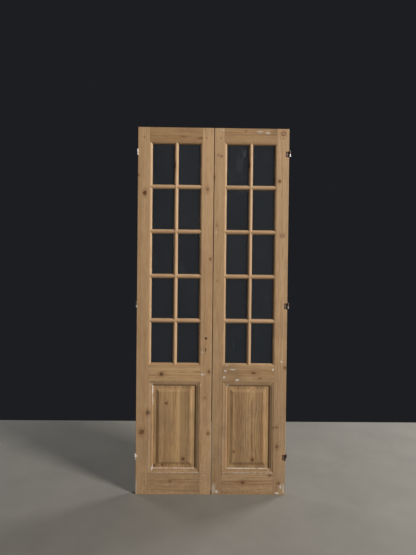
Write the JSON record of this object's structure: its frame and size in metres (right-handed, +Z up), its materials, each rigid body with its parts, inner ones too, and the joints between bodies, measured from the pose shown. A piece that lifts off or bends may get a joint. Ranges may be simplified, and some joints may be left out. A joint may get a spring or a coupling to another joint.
{
  "type": "french doors",
  "caption": "Pair of tall glazed pine doors: each leaf has small panes over a raised and moulded panel, hung on lift-off hinges, with a mortise lock in the meeting stile.",
  "frame": {"origin": "on the floor, under the middle of the pair across its width and thickness", "axes": "+Z up, the front with the hinge knuckles faces -Y, and the leaf with the lock lies towards -X"},
  "size_m": [1.014, 0.0524, 2.432],
  "materials": {
    "glass": "old clear sheet glass",
    "putty": "dry linseed putty",
    "pine_moulding": "stripped pine with paint left in the corners",
    "pine_pegs": "end grain",
    "pine_panel": "stripped pine, dark and waxed",
    "pine_bars": "stripped pine",
    "pine_frame": "stripped pine",
    "jamb_hinge_steel": "worn grey steel",
    "screw_steel": "old steel screws",
    "leaf_hinge_iron": "rusty wrought iron",
    "lock_steel": "tarnished steel",
    "bolt_steel": "worn bright steel"
  },
  "bodies": {
    "jamb_hinges": {"left_jamb_hinge_bottom": "jamb_hinge_steel", "left_jamb_hinge_middle": "jamb_hinge_steel", "left_jamb_hinge_top": "jamb_hinge_steel", "right_jamb_hinge_bottom": "jamb_hinge_steel", "right_jamb_hinge_middle": "jamb_hinge_steel", "right_jamb_hinge_top": "jamb_hinge_steel"},
    "left_leaf": {"left_bottom_rail": "pine_frame", "left_cross_bar_1": "pine_bars", "left_cross_bar_2": "pine_bars", "left_cross_bar_3": "pine_bars", "left_cross_bar_4": "pine_bars", "left_hinge_bottom": "leaf_hinge_iron", "left_hinge_middle": "leaf_hinge_iron", "left_hinge_screws": "screw_steel", "left_hinge_stile": "pine_frame", "left_hinge_top": "leaf_hinge_iron", "left_lock_rail": "pine_frame", "left_meeting_stile": "pine_frame", "left_panel": "pine_panel", "left_panel_moulding": "pine_moulding", "left_panes_row_1": "glass", "left_panes_row_2": "glass", "left_panes_row_3": "glass", "left_panes_row_4": "glass", "left_panes_row_5": "glass", "left_pegs": "pine_pegs", "left_putty": "putty", "left_top_rail": "pine_frame", "left_upright_bar": "pine_bars", "lock_case": "lock_steel", "latch_spring": "bolt_steel", "lock_screws": "screw_steel"},
    "right_leaf": {"right_bottom_rail": "pine_frame", "right_cross_bar_1": "pine_bars", "right_cross_bar_2": "pine_bars", "right_cross_bar_3": "pine_bars", "right_cross_bar_4": "pine_bars", "right_hinge_bottom": "leaf_hinge_iron", "right_hinge_middle": "leaf_hinge_iron", "right_hinge_screws": "screw_steel", "right_hinge_stile": "pine_frame", "right_hinge_top": "leaf_hinge_iron", "right_lock_rail": "pine_frame", "right_meeting_stile": "pine_frame", "right_panel": "pine_panel", "right_panel_moulding": "pine_moulding", "right_panes_row_1": "glass", "right_panes_row_2": "glass", "right_panes_row_3": "glass", "right_panes_row_4": "glass", "right_panes_row_5": "glass", "right_pegs": "pine_pegs", "right_putty": "putty", "right_top_rail": "pine_frame", "right_upright_bar": "pine_bars", "strike_plate": "lock_steel", "strike_screws": "screw_steel"},
    "follower": {"lock_follower": "bolt_steel"},
    "latch": {"latch_bolt": "bolt_steel"},
    "dead_bolt": {"dead_bolt": "bolt_steel"}
  },
  "joints": [
    {"name": "left_leaf_swing", "type": "hinge", "parent": "jamb_hinges", "child": "left_leaf", "pos_m": [-0.502, -0.02125, 1.263], "axis": [0, 0, -1], "range_deg": [0, 170]},
    {"name": "right_leaf_swing", "type": "hinge", "parent": "jamb_hinges", "child": "right_leaf", "pos_m": [0.502, -0.02125, 1.263], "axis": [0, 0, 1], "range_deg": [0, 170]},
    {"name": "follower_turn", "type": "hinge", "parent": "left_leaf", "child": "follower", "pos_m": [-0.0405, 0.004, 1.041], "axis": [0, 1, 0], "range_deg": [0, 35]},
    {"name": "latch_throw", "type": "slide", "parent": "left_leaf", "child": "latch", "axis": [1, 0, 0], "range_m": [0, 0.012]},
    {"name": "dead_bolt_throw", "type": "slide", "parent": "left_leaf", "child": "dead_bolt", "axis": [1, 0, 0], "range_m": [0, 0.014]}
  ],
  "couplings": [
    {"joint": "latch_throw", "follows": "follower_turn", "m_per_rad": 0.01964}
  ]
}
